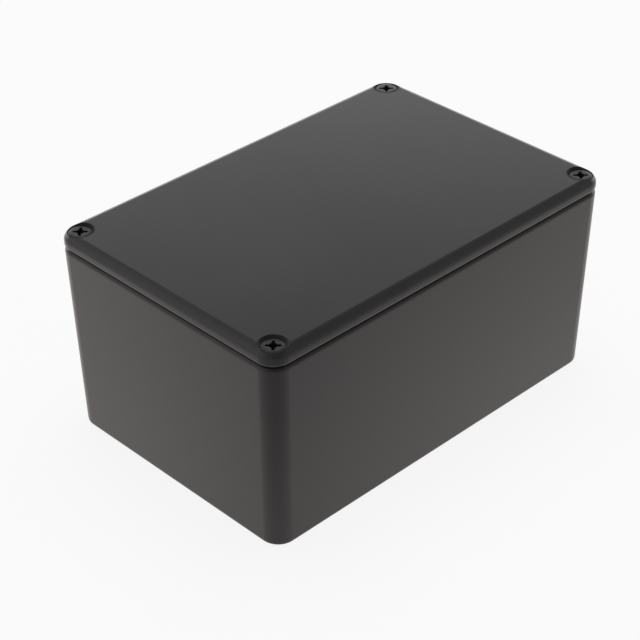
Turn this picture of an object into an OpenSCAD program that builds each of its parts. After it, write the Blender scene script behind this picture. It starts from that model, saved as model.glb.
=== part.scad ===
// Die cast aluminium enclosure: an open box with a screw post in each corner,
// and a lid with a locating lip, held by four countersunk screws.
// Millimetres, +Z up, origin under the middle of the base.

/* [Enclosure] */
// Length over the lid
length = 120; // [90:1:200]
// Width over the lid
width = 80; // [60:1:120]
// Height with the lid on
height = 59; // [40:1:90]
// Radius of the four upright corners, the same from the lid to the base
corner_r = 5.2; // [4.6:0.1:7]
// Draft of the box walls inside and out, in degrees
draft = 1.4; // [0.5:0.1:2]

/* [Box] */
// Thickness of the side walls
wall = 2.3; // [1.8:0.1:3]
// Thickness of the floor
floor_t = 2.4; // [1.8:0.1:4]
// Round on the outer edge of the base
base_edge_r = 1; // [0.5:0.1:2]
// Round inside, where walls and posts meet the floor
floor_fillet_r = 1; // [0.6:0.1:1.6]

/* [Lid] */
// Height of the lid's side, from the joint line to its top
lid_h = 4.3; // [4:0.1:6]
// Thickness of the lid's panel
lid_t = 2.4; // [1.8:0.1:3.2]
// Round on the lid's top edge
lid_edge_r = 2.4; // [1:0.1:2.6]
// Round on the lid's and the box's outer edges at the joint line
joint_edge_r = 1.15; // [0.3:0.05:1.3]
// How far the lip drops into the box
lip_h = 1.8; // [1:0.1:4]
// Thickness of the lip
lip_t = 1.6; // [1.2:0.1:2.4]
// Gap between the lip and the inside of the box
lip_gap = 0.25; // [0.15:0.05:0.5]

/* [Screw posts] */
// Distance of each screw's axis from the two outer faces beside it
screw_inset = 4.5; // [4.2:0.1:6]
// Diameter of a post at the rim
post_d = 8.4; // [7:0.1:10]
// Radius of the blend between a post and the walls, at the floor
post_blend_r = 2.2; // [1.6:0.1:3]
// Depth of the tapped hole below the rim
hole_depth = 14; // [11:0.5:25]
// Gap between the screw and its tapped hole
thread_gap = 0.05; // [0.05:0.01:0.15]

/* [Screws] */
// Diameter of the shank
screw_d = 3.5; // [3:0.1:4]
// Length from the top of the head to the tip
screw_length = 12.7; // [10:0.1:16]
// Diameter of the head
head_d = 6.1; // [5.8:0.1:7]
// Height of the upright edge round the head
head_land = 0.2; // [0.1:0.05:0.4]
// Angle of the countersink, in degrees
head_angle = 82; // [80:1:100]
// Depth of the head's top below the lid's top
head_sink = 0.5; // [0:0.05:0.8]
// Gap between the head and its countersink
seat_gap = 0.05; // [0.02:0.01:0.1]
// Gap between the shank and the hole in the lid
shank_gap = 0.25; // [0.1:0.05:0.4]
// Width of the cross recess over its wings
recess_d = 3.9; // [3:0.1:4.2]
// Depth of the cross recess
recess_depth = 2; // [1:0.1:2.2]
// Thickness of one wing of the cross recess
recess_wing = 0.8; // [0.6:0.05:1.2]
// Diameter of the round core between the wings
recess_core_d = 2.2; // [1.8:0.1:2.8]
// Turn of the wings from the box's sides, in degrees
recess_turn = 45; // [0:5:90]

/* [Hidden] */
$fn = 64;
// Blends bite this far into what they join, so that surfaces cross and never just touch
bite = 0.02;
// A round's arc is this much wider than its radius, so that it crosses the sides that it rounds
skim = 0.002;
// Cutting shapes reach this far past the faces that they cut
reach = 1;
// The shapes that round the base and the rim cross the walls at this angle in degrees,
// and at this many radii from the edge
edge_turn = 3;
edge_run = 1.2;
joint_z = height - lid_h;
// How far the walls have moved in at the base, to the micrometre, as several shapes have to meet there
base_inset = round(1000 * joint_z * tan(draft)) / 1000;
// How far a drafted face has moved between the joint line and the floor
floor_shift = (joint_z - floor_t) * tan(draft);
inner_x = length / 2 - wall;
inner_y = width / 2 - wall;
post_x = length / 2 - screw_inset;
post_y = width / 2 - screw_inset;
post_r = post_d / 2;
// Blend radius at the rim, and its centre measured from the post's axis: along and across the wall.
// At the floor the blend leaves room for the floor's fillet to turn inside it.
blend_r = max(post_blend_r, 2.1 * floor_fillet_r) + floor_shift;
blend_across = screw_inset - wall - blend_r;
blend_along = sqrt(pow(post_r + blend_r, 2) - pow(blend_across, 2));
head_z = height - head_sink;
head_slope = tan(head_angle / 2);
head_cone_h = (head_d - screw_d) / 2 / head_slope;
recess_foot_r = recess_wing / 2;
tip_chamfer = screw_d / 6;
drill_tip_h = screw_d / 4;

// Rounded corners of an outline, from the corner p and its neighbours a and b
function unit(v) = v / norm(v);
function half_angle(a, p, b) = acos(unit(a - p) * unit(b - p)) / 2;
function round_centre(a, p, b, r) =
    p + unit(unit(a - p) + unit(b - p)) * r / sin(half_angle(a, p, b));
function round_ends(a, p, b, r) =
    let (run = r / tan(half_angle(a, p, b)))
    [p + unit(a - p) * run, p + unit(b - p) * run];

// What the corner p of a convex outline loses to a round, between its neighbours a and b
module round_loss(a, p, b, r) {
    centre = round_centre(a, p, b, r);
    ends = round_ends(a, p, b, r);
    translate(centre)
        difference() {
            polygon([[0, 0], 2 * (ends[0] - centre), 2 * (p - centre), 2 * (ends[1] - centre)]);
            circle(r + skim);
        }
}

// A convex outline with a true arc of its own radius at each corner
module rounded_outline(points, radii) {
    n = len(points);
    difference() {
        polygon(points);
        for (i = [0:n - 1])
            if (radii[i] > 0)
                round_loss(points[(i + n - 1) % n], points[i], points[(i + 1) % n], radii[i]);
    }
}

// Sweeps an edge section round the enclosure's rounded rectangle, drawn in by an inset, and fills the
// middle. The section is measured outwards from the axis of the corner round, and upwards.
module swept_round(bottom, top, inset = 0) {
    side_x = length / 2 - inset - corner_r;
    side_y = width / 2 - inset - corner_r;
    translate([-side_x, -side_y, bottom]) cube([2 * side_x, 2 * side_y, top - bottom]);
    for (turn = [0, 180]) rotate(turn) {
        translate([side_x, side_y]) rotate([90, 0, 0]) linear_extrude(2 * side_y) children();
        translate([-side_x, side_y]) rotate([90, 0, 90]) linear_extrude(2 * side_x) children();
        translate([side_x, side_y]) rotate_extrude(angle = 90) children();
        translate([-side_x, side_y]) rotate(90) rotate_extrude(angle = 90) children();
    }
}

// Puts a copy in each corner, mirrored so that +X and +Y always point outwards
module in_each_corner() {
    for (x = [0, 1], y = [0, 1])
        mirror([x, 0, 0]) mirror([0, y, 0]) children();
}

module at_each_post() {
    in_each_corner() translate([post_x, post_y]) children();
}

// Section between two opposite outer walls, drafted, past the base and the rim
module wall_section(half_span) {
    foot = half_span - (joint_z + reach) * tan(draft);
    mouth = half_span + reach * tan(draft);
    polygon([[-foot, -reach], [foot, -reach], [mouth, joint_z + reach], [-mouth, joint_z + reach]]);
}

// What one upright corner loses to its round. The corner leans inwards with both of its walls, so a
// round of one radius is a straight cylinder that leans with it.
module corner_loss() {
    lean = atan(sqrt(2) * tan(draft));
    axis = corner_r / cos(draft);
    translate([length / 2 - axis, width / 2 - axis, joint_z])
        rotate([0, lean, 45])
            linear_extrude(4 * joint_z, center = true)
                difference() {
                    rotate(-45) square(2 * corner_r);
                    circle(corner_r + skim);
                }
}

// The four drafted outer walls with their rounded upright corners
module drafted_walls() {
    difference() {
        intersection() {
            rotate([90, 0, 0]) linear_extrude(width + 2 * reach, center = true) wall_section(length / 2);
            rotate([90, 0, 90]) linear_extrude(length + 2 * reach, center = true) wall_section(width / 2);
        }
        in_each_corner() corner_loss();
    }
}

// Rounds the outer edge of the base. Above that round it leans away from the walls.
module base_envelope() {
    lean = draft + edge_turn;
    top = joint_z + 2 * reach;
    foot = corner_r - edge_run * base_edge_r * (tan(lean) - tan(draft));
    swept_round(0, top, base_inset)
        rounded_outline([[0, 0], [foot, 0], [foot + top * tan(lean), top], [0, top]],
                        [0, base_edge_r, 0, 0]);
}

// Rounds the outer edge of the rim. Below that round it leans away from the walls.
module rim_envelope() {
    lean = edge_turn - draft;
    bottom = -2 * reach;
    rim = corner_r - edge_run * joint_edge_r * (tan(lean) + tan(draft));
    waist = rim + (joint_z - bottom) * tan(lean);
    swept_round(bottom, joint_z)
        rounded_outline([[0, bottom], [waist, bottom], [rim, joint_z], [0, joint_z]],
                        [0, 0, joint_edge_r, 0]);
}

// Outside of the box: drafted walls that narrow towards a rounded base
module box_outside() {
    intersection() {
        drafted_walls();
        base_envelope();
        rim_envelope();
    }
}

// Section of the cavity between two opposite walls, with filleted floor edges
module cavity_section(half_span) {
    foot = half_span - floor_shift;
    mouth = half_span + reach * tan(draft);
    top = joint_z + reach;
    rounded_outline([[-foot, floor_t], [foot, floor_t], [mouth, top], [-mouth, top]],
                    [floor_fillet_r, floor_fillet_r, 0, 0]);
}

// The four-walled cavity before the posts are put back into its corners
module cavity() {
    intersection() {
        rotate([90, 0, 0])
            linear_extrude(2 * inner_y + 2 * reach, center = true) cavity_section(inner_x);
        rotate([90, 0, 90])
            linear_extrude(2 * inner_x + 2 * reach, center = true) cavity_section(inner_y);
    }
}

// Plan of the corner block that ties a post to both walls, from the post's axis
module corner_block_plan() {
    deep = screw_inset - wall / 2;
    polygon([[0, 0], [-blend_along, blend_across], [-blend_along, deep], [deep, deep],
             [deep, -blend_along], [blend_across, -blend_along]]);
}

// Centres of the two blends beside a post, from the post's axis
module at_each_blend() {
    translate([-blend_along, blend_across]) children();
    translate([blend_across, -blend_along]) children();
}

// Section of a post: drafted, and flared where it meets the floor
module post_section() {
    top = joint_z + 2 * reach;
    flare_z = floor_t + floor_fillet_r;
    side_r = post_r + (joint_z - flare_z) * tan(draft);
    flare_x = side_r + floor_fillet_r;
    difference() {
        polygon([[0, floor_t / 2], [flare_x, floor_t / 2], [flare_x, flare_z], [side_r, flare_z],
                 [post_r - 2 * reach * tan(draft), top], [0, top]]);
        translate([flare_x, flare_z]) circle(floor_fillet_r + bite);
    }
}

// Hollow of one blend: a drafted round hollow with a filleted floor
module blend_hollow() {
    bottom = floor_t - bite;
    top = joint_z + 3 * reach;
    foot = blend_r + bite - floor_shift;
    mouth = blend_r + bite + 3 * reach * tan(draft);
    rotate_extrude()
        rounded_outline([[0, bottom], [foot, bottom], [mouth, top], [0, top]],
                        [0, floor_fillet_r, 0, 0]);
}

// One screw post with its blends into the two walls
module post() {
    rotate_extrude() post_section();
    difference() {
        translate([0, 0, floor_t / 2])
            linear_extrude(joint_z + 2 * reach - floor_t / 2) corner_block_plan();
        at_each_blend() blend_hollow();
    }
}

// Blind tapped hole, with the cone that a drill leaves at its end
module post_hole() {
    hole_r = screw_d / 2 + thread_gap;
    bottom = joint_z - hole_depth;
    translate([0, 0, bottom]) cylinder(h = hole_depth + reach, r = hole_r);
    translate([0, 0, bottom - drill_tip_h]) cylinder(h = drill_tip_h, r1 = 0, r2 = hole_r);
}

module box() color([0.22, 0.22, 0.22]) {
    difference() {
        box_outside();
        difference() {
            cavity();
            at_each_post() post();
        }
        at_each_post() post_hole();
    }
}

// Plan of the cavity at the rim, moved inwards by an inset: straight walls, posts and blends
module cavity_plan(inset) {
    difference() {
        square([2 * (inner_x - inset), 2 * (inner_y - inset)], center = true);
        at_each_post() {
            circle(post_r + inset);
            difference() {
                corner_block_plan();
                at_each_blend() circle(blend_r - inset + bite);
            }
        }
    }
}

// Outside of the lid: upright sides and a rounded top edge
module lid_outside() {
    swept_round(joint_z, height)
        rounded_outline([[0, joint_z], [corner_r, joint_z], [corner_r, height], [0, height]],
                        [0, joint_edge_r, lid_edge_r, 0]);
}

// Clearance hole and countersink of one screw
module lid_hole() {
    cone_z = head_z - head_land;
    shank_r = screw_d / 2 + shank_gap;
    wide_r = head_d / 2 + seat_gap / cos(head_angle / 2);
    rise = height + reach - cone_z;
    drop = (wide_r - shank_r) / head_slope;
    translate([0, 0, joint_z - lip_h - reach]) cylinder(h = lid_h + lip_h + reach, r = shank_r);
    translate([0, 0, cone_z - drop])
        cylinder(h = drop + rise, r1 = shank_r, r2 = wide_r + rise * head_slope);
}

module lid() color([0.22, 0.22, 0.22]) {
    difference() {
        union() {
            lid_outside();
            translate([0, 0, joint_z - lip_h])
                linear_extrude(lip_h + lid_h / 2) cavity_plan(lip_gap);
        }
        translate([0, 0, joint_z - lip_h - reach])
            linear_extrude(lip_h + reach + lid_h - lid_t) cavity_plan(lip_gap + lip_t);
        at_each_post() lid_hole();
    }
}

// Cross recess: a round core and two crossed wings that all narrow towards the bottom
module cross_recess() {
    foot_z = head_z - recess_depth;
    translate([0, 0, foot_z])
        cylinder(h = recess_depth, r1 = recess_foot_r + bite, r2 = recess_core_d / 2);
    intersection() {
        union() {
            for (turn = [0, 90])
                rotate(recess_turn + turn)
                    translate([-recess_d, -recess_wing / 2, foot_z])
                        cube([2 * recess_d, recess_wing, recess_depth + reach]);
        }
        translate([0, 0, foot_z])
            cylinder(h = recess_depth, r1 = recess_foot_r, r2 = recess_d / 2);
    }
}

// One countersunk screw, turned to a plain shank at its thread's outer diameter
module screw() {
    shank_r = screw_d / 2;
    cone_z = head_z - head_land;
    tip_z = head_z - screw_length;
    difference() {
        rotate_extrude()
            polygon([[0, tip_z], [shank_r - tip_chamfer, tip_z], [shank_r, tip_z + tip_chamfer],
                     [shank_r, cone_z - head_cone_h], [head_d / 2, cone_z], [head_d / 2, head_z],
                     [0, head_z]]);
        cross_recess();
    }
}

module lid_screws() color([0.12, 0.12, 0.12]) at_each_post() screw();

box();
lid();
lid_screws();
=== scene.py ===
"""Finishes the die cast enclosure: black paint on the castings, threaded lid screws and a white studio."""

import math

import bmesh
import bpy
from bpy.props import FloatProperty, FloatVectorProperty, PointerProperty
from mathutils import Matrix, Vector


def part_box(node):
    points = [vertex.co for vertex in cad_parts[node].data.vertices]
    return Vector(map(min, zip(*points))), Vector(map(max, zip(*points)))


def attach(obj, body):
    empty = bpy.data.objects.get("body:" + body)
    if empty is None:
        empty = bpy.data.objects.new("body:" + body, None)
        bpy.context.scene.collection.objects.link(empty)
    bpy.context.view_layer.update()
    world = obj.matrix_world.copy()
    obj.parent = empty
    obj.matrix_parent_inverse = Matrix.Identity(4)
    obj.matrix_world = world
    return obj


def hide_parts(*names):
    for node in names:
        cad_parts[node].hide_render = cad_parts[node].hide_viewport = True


bl_info = {
    "name": "Die cast enclosure finish",
    "version": (1, 0, 0),
    "blender": (4, 5, 0),
    "location": "View3D > Sidebar > Enclosure",
    "description": "Paints the castings, makes the threaded lid screws and sets up the studio",
    "category": "Object",
}

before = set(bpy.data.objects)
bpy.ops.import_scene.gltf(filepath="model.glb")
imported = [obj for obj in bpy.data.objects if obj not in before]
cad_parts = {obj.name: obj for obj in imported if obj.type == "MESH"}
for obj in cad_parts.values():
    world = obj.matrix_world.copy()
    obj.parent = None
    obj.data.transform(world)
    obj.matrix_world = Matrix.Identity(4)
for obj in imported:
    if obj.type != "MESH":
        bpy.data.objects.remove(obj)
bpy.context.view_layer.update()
LID_LOW, LID_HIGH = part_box("lid")
SCREWS_LOW, SCREWS_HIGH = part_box("lid_screws")

MM = 0.001
BODY = "root"

# Screw details, lengths in millimetres
NEAR = 0.001
THREAD_RUN_OUT = 0.5
HEAD_LAND = 0.2
RIM_LAND = 0.05
RIM_WIDTH = 0.5
RECESS_ROUND = 0.2
SHARP_ANGLE = math.radians(40)

# Thread profile as shares of the pitch, and the tip's chamfer as a share of the thread's radius
THREAD_DEPTH = 0.5413
ROOT_FLAT = 0.25
CREST_FLAT = 0.125
TIP_CHAMFER = 0.3

# Steps down the cross recess: share of its depth reached, and share of its width left there
RECESS_STEPS = ((0.04, 0.955), (0.55, 0.62), (1, 0.24))

# How finely the screws are turned and rounded, and how often the recess's first wing is repeated
THREAD_STEPS = 32
HEAD_STEPS = 64
ROUND_STEPS = 3
WING_COPIES = 3

# Finishes: the film's noise, how far tone and gloss wander, and the painted shade and matter film in
# countersinks and recesses
GRAIN_DETAIL = 3
MOTTLE_DETAIL = 4
TONE_SPREAD = 0.2
GLOSS_SPREAD = 0.03
PAINT_MOTTLE = 40 * MM
SCREW_MOTTLE = 3 * MM
SCREW_GRAIN = 0.3 * MM
SCREW_GRAIN_HEIGHT = 0.002 * MM
# Painted shade: the countersinks' base colour as a share of the paint's colour
SEAT_PAINTED_SHADE = 0.4
SEAT_ROUGHNESS = 0.75
SEAT_MARGIN = 0.1 * MM
# Painted shade in the cross recesses: its material slot, its share of the screws' colour, its roughness
# and its gloss
SHADED_RECESS_SLOT = 1
RECESS_PAINTED_SHADE = 0.25
RECESS_ROUGHNESS = 0.7
RECESS_GLOSS = 0.1

# Studio: lengths in metres, and levels of which 1 is white
AIM_HEIGHT = 0.03
FLOOR_SIZE = 6
POOL_LIFT = 0.0004
TENT_RADIUS = 2.5
TENT_STEPS = 48
FLOOR_GLOW = 0.88
WORLD_LIGHT = 0.2
POOL_LEVEL = 1.416
POOL_DIM = 0.019
FAR_LEVEL = 0.55
WHITE = (1, 1, 1, 1)

# Soft edges of the white wall: in a direction's height, and in how far it goes to the wall's side
WALL_SOFTNESS = 0.025
WALL_SECTOR = (0.28, 0.53)

# Width of the camera's sensor, in millimetres
SENSOR_WIDTH = 36


class PaintSettings(bpy.types.PropertyGroup):
    """Paint on the box and the lid."""

    colour: FloatVectorProperty(
        name="Paint colour", description="Colour of the black paint",
        subtype="COLOR", size=3, min=0, max=1, default=(0.0195, 0.0189, 0.0184))
    roughness: FloatProperty(
        name="Roughness", description="How matt the paint is",
        subtype="FACTOR", min=0, max=1, default=0.33)
    grain_size: FloatProperty(
        name="Grain size", description="Width of one grain of the paint film",
        unit="LENGTH", min=0.1 * MM, max=5 * MM, default=0.45 * MM)
    grain_height: FloatProperty(
        name="Grain height", description="Height of the grain of the paint film",
        unit="LENGTH", min=0, max=0.1 * MM, default=0.009 * MM)


class ScrewSettings(bpy.types.PropertyGroup):
    """Sizes and finish of the four lid screws."""

    inset: FloatProperty(
        name="Inset", description="Distance of a screw's axis from the lid's sides",
        unit="LENGTH", min=4 * MM, max=6 * MM, default=4.5 * MM)
    head_width: FloatProperty(
        name="Head width", description="Diameter of the countersunk head",
        unit="LENGTH", min=5.8 * MM, max=7 * MM, default=6.1 * MM)
    head_angle: FloatProperty(
        name="Head angle", description="Full angle of the head's cone",
        subtype="ANGLE", min=math.radians(80), max=math.radians(100), default=math.radians(82))
    thread_width: FloatProperty(
        name="Thread width", description="Outer diameter of the thread",
        unit="LENGTH", min=3 * MM, max=4 * MM, default=3.5 * MM)
    pitch: FloatProperty(
        name="Pitch", description="Height of one turn of the thread",
        unit="LENGTH", min=0.4 * MM, max=1.2 * MM, default=0.79 * MM)
    recess_width: FloatProperty(
        name="Recess width", description="Width of the cross recess over its wings",
        unit="LENGTH", min=3 * MM, max=4 * MM, default=3.9 * MM)
    recess_wing: FloatProperty(
        name="Recess wing", description="Thickness of one wing of the cross recess",
        unit="LENGTH", min=0.6 * MM, max=1.2 * MM, default=0.8 * MM)
    recess_core: FloatProperty(
        name="Recess core", description="Diameter of the middle of the cross recess",
        unit="LENGTH", min=1.8 * MM, max=2.8 * MM, default=2.2 * MM)
    recess_depth: FloatProperty(
        name="Recess depth", description="Depth of the cross recess",
        unit="LENGTH", min=1 * MM, max=2.2 * MM, default=2 * MM)
    recess_turn: FloatProperty(
        name="Recess turn", description="How far the cross recess is turned from the lid's long side",
        subtype="ANGLE", min=0, max=math.pi / 2, default=math.radians(45))
    colour: FloatVectorProperty(
        name="Screw colour", description="Colour of the blackened screws",
        subtype="COLOR", size=3, min=0, max=1, default=(0.018, 0.0178, 0.0176))
    roughness: FloatProperty(
        name="Roughness", description="How matt the screws are",
        subtype="FACTOR", min=0, max=1, default=0.36)


class StageSettings(bpy.types.PropertyGroup):
    """Camera, floor, lamp and what the gloss of the paint reflects."""

    azimuth: FloatProperty(
        name="Camera azimuth", description="Direction of the camera round the object",
        subtype="ANGLE", default=math.radians(-44.067))
    elevation: FloatProperty(
        name="Camera elevation", description="Height of the camera above the horizon",
        subtype="ANGLE", default=math.radians(34.03))
    roll: FloatProperty(
        name="Camera roll", description="Tilt of the camera about its own line of sight",
        subtype="ANGLE", default=math.radians(-0.553))
    distance: FloatProperty(
        name="Camera distance", description="Distance from the camera to its target",
        unit="LENGTH", default=490.69 * MM)
    target: FloatVectorProperty(
        name="Camera target", description="Point that the camera looks at",
        subtype="TRANSLATION", size=3, default=(-10.785 * MM, -4.823 * MM, 29.5 * MM))
    lens: FloatProperty(
        name="Lens", description="Focal length of the camera, in millimetres",
        unit="CAMERA", min=20, max=300, default=105.62)
    floor_colour: FloatVectorProperty(
        name="Floor colour", description="Colour of the floor",
        subtype="COLOR", size=3, min=0, max=1, default=(0.9, 0.9, 0.9))
    lamp_power: FloatProperty(
        name="Lamp power", description="Power of the soft lamp overhead",
        unit="POWER", min=0, max=100, default=5.8)
    lamp_size: FloatProperty(
        name="Lamp size", description="Width of the square lamp overhead",
        unit="LENGTH", min=0.1, max=3, default=0.8)
    lamp_distance: FloatProperty(
        name="Lamp distance", description="Distance of the lamp from the object",
        unit="LENGTH", min=0.3, max=3, default=0.9)
    lamp_side: FloatProperty(
        name="Lamp side", description="Direction of the lamp round the object",
        subtype="ANGLE", default=math.radians(136))
    lamp_elevation: FloatProperty(
        name="Lamp elevation", description="Height of the lamp above the horizon",
        subtype="ANGLE", min=0, max=math.pi / 2, default=math.radians(78))
    room_level: FloatProperty(
        name="Room level", description="Brightness of the room between its two light sides in reflections",
        min=0, max=2, default=0.208)
    room_sides: FloatProperty(
        name="Room sides", description="How much lighter the two opposite sides of the room are",
        min=0, max=2, default=0.409)
    room_lean: FloatProperty(
        name="Room lean", description="How much of that the lighter side gains and the other side loses",
        min=0, max=2, default=0.227)
    room_side: FloatProperty(
        name="Room side", description="Direction of the lighter side of the room",
        subtype="ANGLE", default=math.radians(-134.1))
    wall_level: FloatProperty(
        name="Wall level", description="Brightness of the low white wall behind the object in reflections",
        min=0, max=3, default=2.205)
    wall_side: FloatProperty(
        name="Wall side", description="Direction of the white wall",
        subtype="ANGLE", default=math.radians(133.9))
    wall_edge: FloatProperty(
        name="Wall edge", description="Height at which the white wall ends, seen from the object",
        subtype="ANGLE", min=0, max=math.pi / 2, default=math.radians(23.32))
    pool_colour: FloatVectorProperty(
        name="Pool colour", description="Tint of the lit floor in reflections",
        subtype="COLOR", size=3, min=0, max=1, default=(1, 0.94, 0.93))
    pool_middle: FloatVectorProperty(
        name="Pool middle", description="Middle of the lit part of the floor",
        subtype="TRANSLATION", size=2, default=(94 * MM, 139.9 * MM))
    pool_inner: FloatProperty(
        name="Pool inner radius", description="Radius of the evenly lit part of the floor",
        unit="LENGTH", min=0, max=2, default=95.2 * MM)
    pool_outer: FloatProperty(
        name="Pool outer radius", description="Radius at which the floor is no longer lit",
        unit="LENGTH", min=0, max=5, default=408.2 * MM)
    far_inner: FloatProperty(
        name="Far floor inner radius", description="Distance at which the floor leaves the object's shade",
        unit="LENGTH", min=0, max=5, default=105.3 * MM)
    far_outer: FloatProperty(
        name="Far floor outer radius", description="Distance at which the floor is clear of that shade",
        unit="LENGTH", min=0, max=5, default=275.1 * MM)


def add_node(tree, kind, place, inputs=None, **settings):
    """Adds a node at a place in the editor. An input is given a value, or a socket to link it to."""
    node = tree.nodes.new(kind)
    node.location = place
    for name, value in settings.items():
        setattr(node, name, value)
    for name, value in (inputs or {}).items():
        if isinstance(value, bpy.types.NodeSocket):
            tree.links.new(value, node.inputs[name])
        else:
            node.inputs[name].default_value = value
    return node


def shaded(colour, share):
    """A colour made lighter or darker, with its alpha."""
    return (*(share * part for part in colour), 1)


def paint_film_group():
    """Node group of a sprayed film: a fine grain to raise, and a broad mottle to tint by."""
    tree = bpy.data.node_groups.get("paint_film")
    if tree:
        return tree
    tree = bpy.data.node_groups.new("paint_film", "ShaderNodeTree")
    sockets = tree.interface
    sockets.new_socket("Position", in_out="INPUT", socket_type="NodeSocketVector")
    sockets.new_socket("Grain Scale", in_out="INPUT", socket_type="NodeSocketFloat")
    sockets.new_socket("Mottle Scale", in_out="INPUT", socket_type="NodeSocketFloat")
    sockets.new_socket("Grain", in_out="OUTPUT", socket_type="NodeSocketFloat")
    sockets.new_socket("Mottle", in_out="OUTPUT", socket_type="NodeSocketFloat")
    given = add_node(tree, "NodeGroupInput", (-600, 0)).outputs
    grain = add_node(tree, "ShaderNodeTexNoise", (-300, 150), {
        "Vector": given["Position"], "Scale": given["Grain Scale"], "Detail": GRAIN_DETAIL})
    mottle = add_node(tree, "ShaderNodeTexNoise", (-300, -150), {
        "Vector": given["Position"], "Scale": given["Mottle Scale"], "Detail": MOTTLE_DETAIL})
    add_node(tree, "NodeGroupOutput", (200, 0), {
        "Grain": grain.outputs["Fac"], "Mottle": mottle.outputs["Fac"]})
    return tree


def painted(name, colour, roughness, grain_size, grain_height, mottle_size):
    """A black sprayed finish with its grain in the normal and its mottle in tone and gloss."""
    material = bpy.data.materials.new(name)
    material.use_nodes = True
    tree = material.node_tree
    shader = tree.nodes["Principled BSDF"]
    place = add_node(tree, "ShaderNodeTexCoord", (-1300, 0)).outputs["Object"]
    film = add_node(tree, "ShaderNodeGroup", (-1000, 0), node_tree=paint_film_group())
    film.inputs["Grain Scale"].default_value = 1 / grain_size
    film.inputs["Mottle Scale"].default_value = 1 / mottle_size
    tree.links.new(place, film.inputs["Position"])

    tone = add_node(tree, "ShaderNodeMix", (-600, 250), data_type="RGBA")
    tone.inputs["A"].default_value = shaded(colour, 1 - TONE_SPREAD)
    tone.inputs["B"].default_value = shaded(colour, 1 + TONE_SPREAD)
    tree.links.new(film.outputs["Mottle"], tone.inputs["Factor"])
    tree.links.new(tone.outputs["Result"], shader.inputs["Base Color"])

    gloss = add_node(tree, "ShaderNodeMapRange", (-600, 0), {
        "Value": film.outputs["Mottle"],
        "To Min": roughness - GLOSS_SPREAD, "To Max": roughness + GLOSS_SPREAD})
    tree.links.new(gloss.outputs["Result"], shader.inputs["Roughness"])

    bump = add_node(tree, "ShaderNodeBump", (-600, -250), {
        "Height": film.outputs["Grain"], "Distance": grain_height})
    tree.links.new(bump.outputs["Normal"], shader.inputs["Normal"])
    return material, place


def seat_shade_and_matt_mask(tree, place, screws):
    """1 in the lid's countersinks, which follow the cone of the screw heads, and 0 elsewhere: where the
    painted shade and the matter film go.
    """
    slope = math.tan(screws.head_angle / 2)
    land = HEAD_LAND * MM
    mouth = screws.head_width / 2 + (LID_HIGH[2] - SCREWS_HIGH[2] + land) * slope + SEAT_MARGIN
    axis = (LID_HIGH[0] - screws.inset, LID_HIGH[1] - screws.inset, LID_HIGH[2])
    one_corner = add_node(tree, "ShaderNodeVectorMath", (-1300, 600), {0: place}, operation="ABSOLUTE")
    from_axis = add_node(tree, "ShaderNodeVectorMath", (-1150, 600), {
        0: one_corner.outputs["Vector"], 1: axis}, operation="SUBTRACT")
    flat = add_node(tree, "ShaderNodeVectorMath", (-1000, 600), {
        0: from_axis.outputs["Vector"], 1: (1, 1, 0)}, operation="MULTIPLY")
    radius = add_node(tree, "ShaderNodeVectorMath", (-850, 600), {
        0: flat.outputs["Vector"]}, operation="LENGTH")
    height = add_node(tree, "ShaderNodeSeparateXYZ", (-1000, 450), {0: from_axis.outputs["Vector"]})
    mouth_radius = add_node(tree, "ShaderNodeMath", (-700, 600), {
        0: height.outputs["Z"], 1: -slope, 2: radius.outputs["Value"]}, operation="MULTIPLY_ADD")
    inside = add_node(tree, "ShaderNodeMapRange", (-550, 600), {
        "Value": mouth_radius.outputs[0], "From Min": mouth, "From Max": mouth + SEAT_MARGIN,
        "To Min": 1, "To Max": 0}, interpolation_type="SMOOTHSTEP")
    return inside.outputs["Result"]


def casting_paint(settings, screws):
    """The paint of the box and the lid, with painted shade (a darker base colour) and a matter film in the
    countersinks.
    """
    material, place = painted(
        "satin_black_paint", settings.colour, settings.roughness,
        settings.grain_size, settings.grain_height, PAINT_MOTTLE)
    tree = material.node_tree
    shader = tree.nodes["Principled BSDF"]
    mask = seat_shade_and_matt_mask(tree, place, screws)
    # In the countersinks the base colour is darkened as painted shade, and the roughness is raised to a
    # matter film
    for socket, kind, seat, spot in (
            ("Base Color", "RGBA", shaded(settings.colour, SEAT_PAINTED_SHADE), (-300, 400)),
            ("Roughness", "FLOAT", SEAT_ROUGHNESS, (-300, 150))):
        film = shader.inputs[socket].links[0].from_socket
        mix = add_node(tree, "ShaderNodeMix", spot, data_type=kind)
        mix.inputs["B"].default_value = seat
        tree.links.new(mask, mix.inputs["Factor"])
        tree.links.new(film, mix.inputs["A"])
        tree.links.new(mix.outputs["Result"], shader.inputs[socket])
    return material


def screw_black(settings):
    """The blackened finish of the screws."""
    material, _ = painted(
        "blackened_screw", settings.colour, settings.roughness,
        SCREW_GRAIN, SCREW_GRAIN_HEIGHT, SCREW_MOTTLE)
    return material


def painted_shade_recess(settings):
    """Painted shade in the cross recesses: the screws' finish made darker and less glossy there, where
    little light comes back out.
    """
    material, _ = painted(
        "painted_shade_recess", [RECESS_PAINTED_SHADE * part for part in settings.colour], RECESS_ROUGHNESS,
        SCREW_GRAIN, SCREW_GRAIN_HEIGHT, SCREW_MOTTLE)
    material.node_tree.nodes["Principled BSDF"].inputs["Specular IOR Level"].default_value = RECESS_GLOSS
    return material


def give_material(piece, material):
    """Puts one material in every slot of a piece."""
    for slot in piece.material_slots:
        slot.material = material
    if not piece.material_slots:
        piece.data.materials.append(material)


class ENCLOSURE_OT_castings(bpy.types.Operator):
    """Paint the box and the lid"""

    bl_idname = "enclosure.castings"
    bl_label = "Paint the castings"

    def execute(self, context):
        paint = casting_paint(context.scene.enclosure_paint, context.scene.enclosure_screws)
        for node in ("box", "lid"):
            give_material(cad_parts[node], paint)
        return {"FINISHED"}


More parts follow.
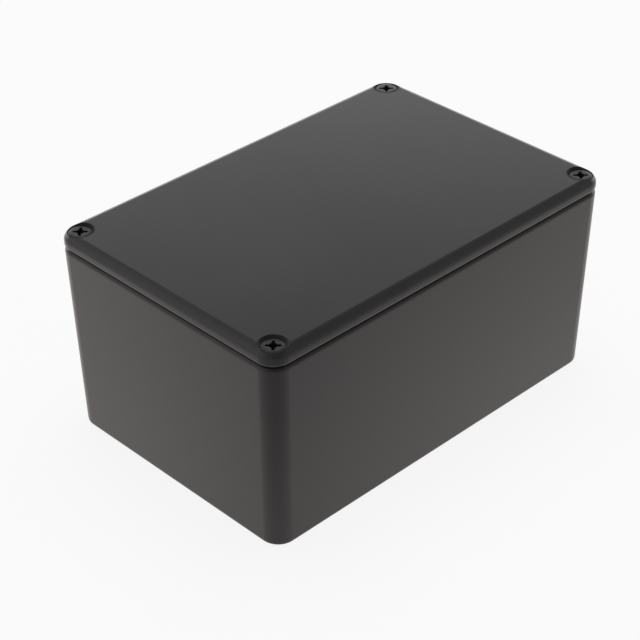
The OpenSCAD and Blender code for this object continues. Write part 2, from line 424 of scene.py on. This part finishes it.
def wire(shape, points):
    """Joins points with a line of edges."""
    corners = [shape.verts.new(point) for point in points]
    for start, end in zip(corners, corners[1:]):
        shape.edges.new((start, end))
    return corners


def each_once(parts):
    """Parts without repeats, in their order, so that every run gives the same mesh."""
    return list(dict.fromkeys(parts))


def bare_wire(shape):
    """The edges that carry no face yet, with their ends."""
    edges = [edge for edge in shape.edges if edge.is_wire]
    return edges + each_once(corner for edge in edges for corner in edge.verts)


def open_rim(shape, height):
    """The edges of an open rim at one height."""
    return [edge for edge in shape.edges
            if edge.is_boundary and all(abs(corner.co.z - height) < NEAR for corner in edge.verts)]


def merge(shape):
    """Joins corners that fall on one another."""
    bmesh.ops.remove_doubles(shape, verts=shape.verts, dist=NEAR)


def of_kind(kind, parts):
    """The parts of one kind: corners, edges or faces."""
    return [part for part in parts if isinstance(part, kind)]


def round_corners(shape, corners, offset):
    """Rounds corners of a line of edges."""
    bmesh.ops.bevel(shape, geom=corners, offset=offset, segments=ROUND_STEPS, profile=0.5,
                    affect="VERTICES", material=-1)


def add_thread(shape, radius, pitch, low, high):
    """Sweeps one turn's profile up the axis, trims it flat at both ends and closes the tip."""
    root = radius - THREAD_DEPTH * pitch
    flank = (1 - ROOT_FLAT - CREST_FLAT) / 2
    start = low - pitch
    wire(shape, ((root, 0, start),
                 (root, 0, start + ROOT_FLAT * pitch),
                 (radius, 0, start + (ROOT_FLAT + flank) * pitch),
                 (radius, 0, start + (ROOT_FLAT + flank + CREST_FLAT) * pitch),
                 (root, 0, start + pitch)))
    turns = math.ceil((high - low) / pitch) + 1
    bmesh.ops.spin(shape, geom=bare_wire(shape), axis=(0, 0, 1), dvec=(0, 0, pitch / THREAD_STEPS),
                   angle=2 * math.pi * turns, steps=THREAD_STEPS * turns)
    merge(shape)
    foot = low + TIP_CHAMFER * radius
    for height, ends in ((foot, {"clear_inner": True}), (high, {"clear_outer": True})):
        bmesh.ops.bisect_plane(shape, geom=shape.verts[:] + shape.edges[:] + shape.faces[:], dist=NEAR,
                               plane_co=(0, 0, height), plane_no=(0, 0, 1), **ends)
    merge(shape)
    tip_radius = radius * (1 - TIP_CHAMFER)
    tip = bmesh.ops.create_circle(shape, cap_ends=True, segments=THREAD_STEPS, radius=tip_radius,
                                  matrix=Matrix.Translation((0, 0, low)))
    rim = each_once(edge for corner in tip["verts"] for edge in corner.link_edges)
    bmesh.ops.bridge_loops(shape, edges=open_rim(shape, foot) + rim)


def add_head(shape, neck_radius, head_radius, neck, top):
    """Turns the countersunk head from its profile, with its rim rounded, and joins it to the thread."""
    thread_end = open_rim(shape, neck - THREAD_RUN_OUT)
    land = top - HEAD_LAND
    corners = wire(shape, ((neck_radius, 0, neck),
                           (head_radius, 0, land),
                           (head_radius, 0, land + RIM_LAND),
                           (head_radius - RIM_WIDTH, 0, top),
                           (head_radius - 2 * RIM_WIDTH, 0, top)))
    for corner, offset in ((corners[3], RIM_WIDTH / 2), (corners[2], RIM_LAND / 2)):
        round_corners(shape, [corner], offset)
    bmesh.ops.spin(shape, geom=bare_wire(shape), axis=(0, 0, 1), angle=2 * math.pi,
                   steps=HEAD_STEPS, use_merge=True)
    merge(shape)
    bmesh.ops.bridge_loops(shape, edges=thread_end + open_rim(shape, neck))


def recess_mouth(shape, settings, top):
    """Draws the mouth of the cross recess: one wing and its blends, turned round the axis four times."""
    core = settings.recess_core / MM / 2
    wing = settings.recess_wing / MM / 2
    reach = settings.recess_width / MM / 2
    blend = math.cos(math.pi / 4) * core
    side = math.sqrt(core ** 2 - wing ** 2)
    corners = wire(shape, ((blend, -blend, top), (side, -wing, top), (reach, -wing, top),
                           (reach, wing, top), (side, wing, top), (blend, blend, top)))
    round_corners(shape, corners[2:4], RECESS_ROUND)
    bmesh.ops.spin(shape, geom=bare_wire(shape), axis=(0, 0, 1), angle=WING_COPIES * math.pi / 2,
                   steps=WING_COPIES, use_duplicate=True)
    merge(shape)
    mouth = [edge for edge in shape.edges if edge.is_wire]
    corners = each_once(corner for edge in mouth for corner in edge.verts)
    bmesh.ops.rotate(shape, verts=corners, matrix=Matrix.Rotation(settings.recess_turn, 3, "Z"))
    return mouth


def add_recess(shape, settings, top):
    """Closes the head round the mouth of its cross recess, and sinks the recess in narrowing steps."""
    outside = open_rim(shape, top)
    ring = recess_mouth(shape, settings, top)
    bmesh.ops.triangle_fill(shape, edges=outside + ring, use_beauty=True)
    depth = settings.recess_depth / MM
    walls = []
    reached = 0
    width = 1
    for share, narrowing in RECESS_STEPS:
        sunk = bmesh.ops.extrude_edge_only(shape, edges=ring)["geom"]
        ring = of_kind(bmesh.types.BMEdge, sunk)
        lower = of_kind(bmesh.types.BMVert, sunk)
        walls += of_kind(bmesh.types.BMFace, sunk)
        bmesh.ops.translate(shape, vec=(0, 0, (reached - share) * depth), verts=lower)
        bmesh.ops.scale(shape, vec=(narrowing / width, narrowing / width, 1), verts=lower)
        reached = share
        width = narrowing
    walls += bmesh.ops.edgeloop_fill(shape, edges=open_rim(shape, top - depth))["faces"]
    # The recess walls and floor take the painted-shade material
    for face in walls:
        face.material_index = SHADED_RECESS_SLOT


def settle_order(shape):
    """Puts the faces in the order of their corners, because a spin's own order changes with each run."""
    shape.verts.index_update()
    faces = sorted(shape.faces, key=lambda face: sorted(corner.index for corner in face.verts))
    for index, face in enumerate(faces):
        face.index = index
    shape.faces.sort()


def four_screws(settings):
    """One screw in millimetres, copied to its four places and brought to metres."""
    shape = bmesh.new()
    thread_radius = settings.thread_width / MM / 2
    head_radius = settings.head_width / MM / 2
    low = SCREWS_LOW[2] / MM
    top = SCREWS_HIGH[2] / MM
    neck = top - HEAD_LAND - (head_radius - thread_radius) / math.tan(settings.head_angle / 2)
    add_thread(shape, thread_radius, settings.pitch / MM, low, neck - THREAD_RUN_OUT)
    add_head(shape, thread_radius, head_radius, neck, top)
    add_recess(shape, settings, top)
    bmesh.ops.recalc_face_normals(shape, faces=shape.faces)
    settle_order(shape)

    left, front = ((LID_LOW[side] + settings.inset) / MM for side in (0, 1))
    right, back = ((LID_HIGH[side] - settings.inset) / MM for side in (0, 1))
    places = ((left, front, 0), (right, front, 0), (right, back, 0), (left, back, 0))
    screw = shape.verts[:] + shape.edges[:] + shape.faces[:]
    copies = [screw] + [bmesh.ops.duplicate(shape, geom=screw)["geom"] for _ in places[1:]]
    for copy, place in zip(copies, places):
        bmesh.ops.translate(shape, vec=place, verts=of_kind(bmesh.types.BMVert, copy))
    bmesh.ops.scale(shape, vec=(MM, MM, MM), verts=shape.verts)
    return shape


def new_object(name, shape, *materials):
    """An object in the scene from a finished shape."""
    mesh = bpy.data.meshes.new(name)
    shape.to_mesh(mesh)
    shape.free()
    for material in materials:
        mesh.materials.append(material)
    thing = bpy.data.objects.new(name, mesh)
    bpy.context.scene.collection.objects.link(thing)
    return thing


class ENCLOSURE_OT_screws(bpy.types.Operator):
    """Make the four threaded lid screws"""

    bl_idname = "enclosure.screws"
    bl_label = "Make the screws"

    def execute(self, context):
        settings = context.scene.enclosure_screws
        piece = new_object("threaded_screws", four_screws(settings),
                           screw_black(settings), painted_shade_recess(settings))
        piece.data.shade_smooth()
        piece.data.set_sharp_from_angle(angle=SHARP_ANGLE)
        piece.modifiers.new("even_flats", "WEIGHTED_NORMAL").keep_sharp = True
        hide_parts("lid_screws")
        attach(piece, BODY)
        return {"FINISHED"}


def joined(tree, operation, first, second, place):
    """Two values, or a value and a number, put together by a sum, a product or the larger of both."""
    return add_node(tree, "ShaderNodeMath", place, {0: first, 1: second}, operation=operation).outputs[0]


def shown_as_white(tree):
    """1 for rays from the camera and for those that gloss or glass sends on, else 0."""
    path = add_node(tree, "ShaderNodeLightPath", (-900, 300)).outputs
    gloss = joined(tree, "MAXIMUM", path["Is Camera Ray"], path["Is Glossy Ray"], (-650, 300))
    return joined(tree, "MAXIMUM", gloss, path["Is Transmission Ray"], (-450, 300))


def faded(tree, value, start, end, start_level, end_level, place):
    """A smooth fade of a value from one level to another."""
    fade = add_node(tree, "ShaderNodeMapRange", place, {
        "Value": value, "From Min": start, "From Max": end,
        "To Min": start_level, "To Max": end_level}, interpolation_type="SMOOTHSTEP")
    return fade.outputs["Result"]


def round_the_object(azimuth, elevation, distance):
    """A point at a distance from the origin. Azimuth 0 is in front, along -Y."""
    return distance * Vector((
        math.sin(azimuth) * math.cos(elevation),
        -math.cos(azimuth) * math.cos(elevation),
        math.sin(elevation)))


def along(tree, direction, side, place):
    """How far a direction goes to one side of the object."""
    part = add_node(tree, "ShaderNodeVectorMath", place, {
        0: direction, 1: round_the_object(side, 0, 1)}, operation="DOT_PRODUCT")
    return part.outputs["Value"]


def empty_material(name):
    """A material with an output and nothing else."""
    material = bpy.data.materials.new(name)
    material.use_nodes = True
    material.node_tree.nodes.clear()
    output = add_node(material.node_tree, "ShaderNodeOutputMaterial", (600, 0))
    return material, material.node_tree, output.inputs["Surface"]


def white_world(scene):
    """A white surround to look at, and a weaker one to light by."""
    world = bpy.data.worlds.new("white_surround")
    world.use_nodes = True
    tree = world.node_tree
    tree.nodes.clear()
    light = add_node(tree, "ShaderNodeBackground", (-150, 0), {"Color": WHITE, "Strength": WORLD_LIGHT})
    white = add_node(tree, "ShaderNodeBackground", (-150, -150), {"Color": WHITE})
    mix = add_node(tree, "ShaderNodeMixShader", (100, 0), {
        0: shown_as_white(tree), 1: light.outputs[0], 2: white.outputs[0]})
    add_node(tree, "ShaderNodeOutputWorld", (300, 0), {"Surface": mix.outputs[0]})
    scene.world = world


def floor_material(colour):
    """White floor that glows a little for the camera and keeps the object's shadow."""
    material, tree, surface = empty_material("white_floor")
    matt = add_node(tree, "ShaderNodeBsdfDiffuse", (0, 0), {"Color": shaded(colour, 1)})
    glow = add_node(tree, "ShaderNodeEmission", (0, -150))
    share = joined(tree, "MULTIPLY", shown_as_white(tree), FLOOR_GLOW, (0, 300))
    mix = add_node(tree, "ShaderNodeMixShader", (300, 0), {
        0: share, 1: matt.outputs[0], 2: glow.outputs[0]})
    tree.links.new(mix.outputs[0], surface)
    return material


def glowing(name, colour=WHITE):
    """A material that only glows, its strength left to be linked."""
    material, tree, surface = empty_material(name)
    glow = add_node(tree, "ShaderNodeEmission", (400, 0), {"Color": colour})
    tree.links.new(glow.outputs[0], surface)
    place = add_node(tree, "ShaderNodeTexCoord", (-800, 0))
    return material, place.outputs["Object"], glow.inputs["Strength"]


def floor_sheet(name, height, material):
    """A flat sheet as large as the floor."""
    shape = bmesh.new()
    bmesh.ops.create_grid(shape, x_segments=1, y_segments=1, size=FLOOR_SIZE / 2,
                          matrix=Matrix.Translation((0, 0, height)))
    sheet = new_object(name, shape, material)
    return sheet


def only_reflected(thing):
    """Keeps a part of the stage out of everything but reflections."""
    thing.visible_camera = False
    thing.visible_diffuse = False
    thing.visible_shadow = False


def aimed(place, target):
    """Matrix of a lamp or camera at a place that looks at the target."""
    back = (Vector(place) - Vector(target)).normalized()
    return Matrix.Translation(place) @ back.to_track_quat("Z", "Y").to_matrix().to_4x4()


def overhead_lamp(settings):
    """A soft square lamp that lights the object but shows in no reflection."""
    data = bpy.data.lights.new("overhead", "AREA")
    data.size = settings.lamp_size
    data.energy = settings.lamp_power
    lamp = bpy.data.objects.new("overhead", data)
    place = round_the_object(settings.lamp_side, settings.lamp_elevation, settings.lamp_distance)
    lamp.matrix_world = aimed(place, (0, 0, AIM_HEIGHT))
    lamp.visible_glossy = False
    bpy.context.scene.collection.objects.link(lamp)


def photo_camera(settings):
    """The camera at the photograph's angle."""
    data = bpy.data.cameras.new("camera")
    data.sensor_width = SENSOR_WIDTH
    data.lens = settings.lens
    camera = bpy.data.objects.new("camera", data)
    bpy.context.scene.collection.objects.link(camera)
    target = Vector(settings.target)
    place = target + round_the_object(settings.azimuth, settings.elevation, settings.distance)
    camera.matrix_world = aimed(place, target) @ Matrix.Rotation(settings.roll, 4, "Z")
    bpy.context.scene.camera = camera


def light_tent(settings):
    """A dim room with two lighter sides and a low bright wall behind the object, for gloss alone."""
    material, position, strength = glowing("tent_glow")
    tree = material.node_tree
    direction = add_node(tree, "ShaderNodeVectorMath", (-600, 0), {0: position}, operation="NORMALIZE")
    direction = direction.outputs["Vector"]
    height = add_node(tree, "ShaderNodeSeparateXYZ", (-400, -300), {0: direction}).outputs["Z"]

    side = along(tree, direction, settings.room_side, (-400, 200))
    rise = joined(tree, "MULTIPLY", side, settings.room_sides, (-200, 350))
    rise = joined(tree, "ADD", rise, settings.room_lean, (-50, 350))
    rise = joined(tree, "MULTIPLY", rise, side, (100, 350))
    room = joined(tree, "ADD", rise, settings.room_level, (100, 200))

    behind = along(tree, direction, settings.wall_side, (-400, 0))
    sector = faded(tree, behind, *WALL_SECTOR, 0, settings.wall_level, (-200, 0))
    edge = math.sin(settings.wall_edge)
    below = faded(tree, height, edge, edge + WALL_SOFTNESS, 1, 0, (-200, -300))
    wall = joined(tree, "MULTIPLY", sector, below, (0, -100))
    tree.links.new(joined(tree, "ADD", room, wall, (200, 0)), strength)

    shape = bmesh.new()
    bmesh.ops.create_uvsphere(shape, u_segments=TENT_STEPS, v_segments=TENT_STEPS // 2, radius=TENT_RADIUS)
    tent = new_object("light_tent", shape, material)
    only_reflected(tent)


def light_pool(settings):
    """The floor, for gloss alone: a lit part that fades with distance, and what is clear of the shade."""
    material, position, strength = glowing("pool_glow", shaded(settings.pool_colour, 1))
    tree = material.node_tree
    away = add_node(tree, "ShaderNodeVectorMath", (-500, 0), {
        0: position, 1: (*settings.pool_middle, 0)}, operation="DISTANCE")
    pool = faded(tree, away.outputs["Value"], settings.pool_inner, settings.pool_outer,
                 POOL_LEVEL, POOL_DIM, (-200, 0))
    out = add_node(tree, "ShaderNodeVectorMath", (-500, -200), {0: position}, operation="LENGTH")
    far = faded(tree, out.outputs["Value"], settings.far_inner, settings.far_outer,
                0, FAR_LEVEL, (-200, -200))
    tree.links.new(joined(tree, "ADD", pool, far, (100, 0)), strength)
    only_reflected(floor_sheet("light_pool", POOL_LIFT, material))


class ENCLOSURE_OT_stage(bpy.types.Operator):
    """Set up the floor, the surround, the lamp and the camera"""

    bl_idname = "enclosure.stage"
    bl_label = "Set up the studio"

    def execute(self, context):
        settings = context.scene.enclosure_stage
        context.scene.view_settings.view_transform = "Standard"
        white_world(context.scene)
        floor_sheet("floor", 0, floor_material(settings.floor_colour))
        light_tent(settings)
        light_pool(settings)
        overhead_lamp(settings)
        photo_camera(settings)
        return {"FINISHED"}


class ENCLOSURE_PT_panel(bpy.types.Panel):
    """Lists the enclosure's settings and steps"""

    bl_idname = "ENCLOSURE_PT_panel"
    bl_label = "Die cast enclosure"
    bl_space_type = "VIEW_3D"
    bl_region_type = "UI"
    bl_category = "Enclosure"

    def draw(self, context):
        for group, settings, step in STEPS:
            box = self.layout.box()
            for name in settings.__annotations__:
                box.prop(getattr(context.scene, group), name)
            box.operator(step.bl_idname)


STEPS = (
    ("enclosure_paint", PaintSettings, ENCLOSURE_OT_castings),
    ("enclosure_screws", ScrewSettings, ENCLOSURE_OT_screws),
    ("enclosure_stage", StageSettings, ENCLOSURE_OT_stage),
)


def register():
    """Adds the settings to the scene, and the operators and the panel to Blender."""
    for group, settings, step in STEPS:
        bpy.utils.register_class(settings)
        bpy.utils.register_class(step)
        setattr(bpy.types.Scene, group, PointerProperty(type=settings))
    bpy.utils.register_class(ENCLOSURE_PT_panel)


def unregister():
    """Takes out what register added."""
    bpy.utils.unregister_class(ENCLOSURE_PT_panel)
    for group, settings, step in reversed(STEPS):
        delattr(bpy.types.Scene, group)
        bpy.utils.unregister_class(step)
        bpy.utils.unregister_class(settings)


def main():
    """Runs every step."""
    register()
    bpy.ops.enclosure.castings()
    bpy.ops.enclosure.screws()
    bpy.ops.enclosure.stage()


if __name__ == "__main__":
    main()
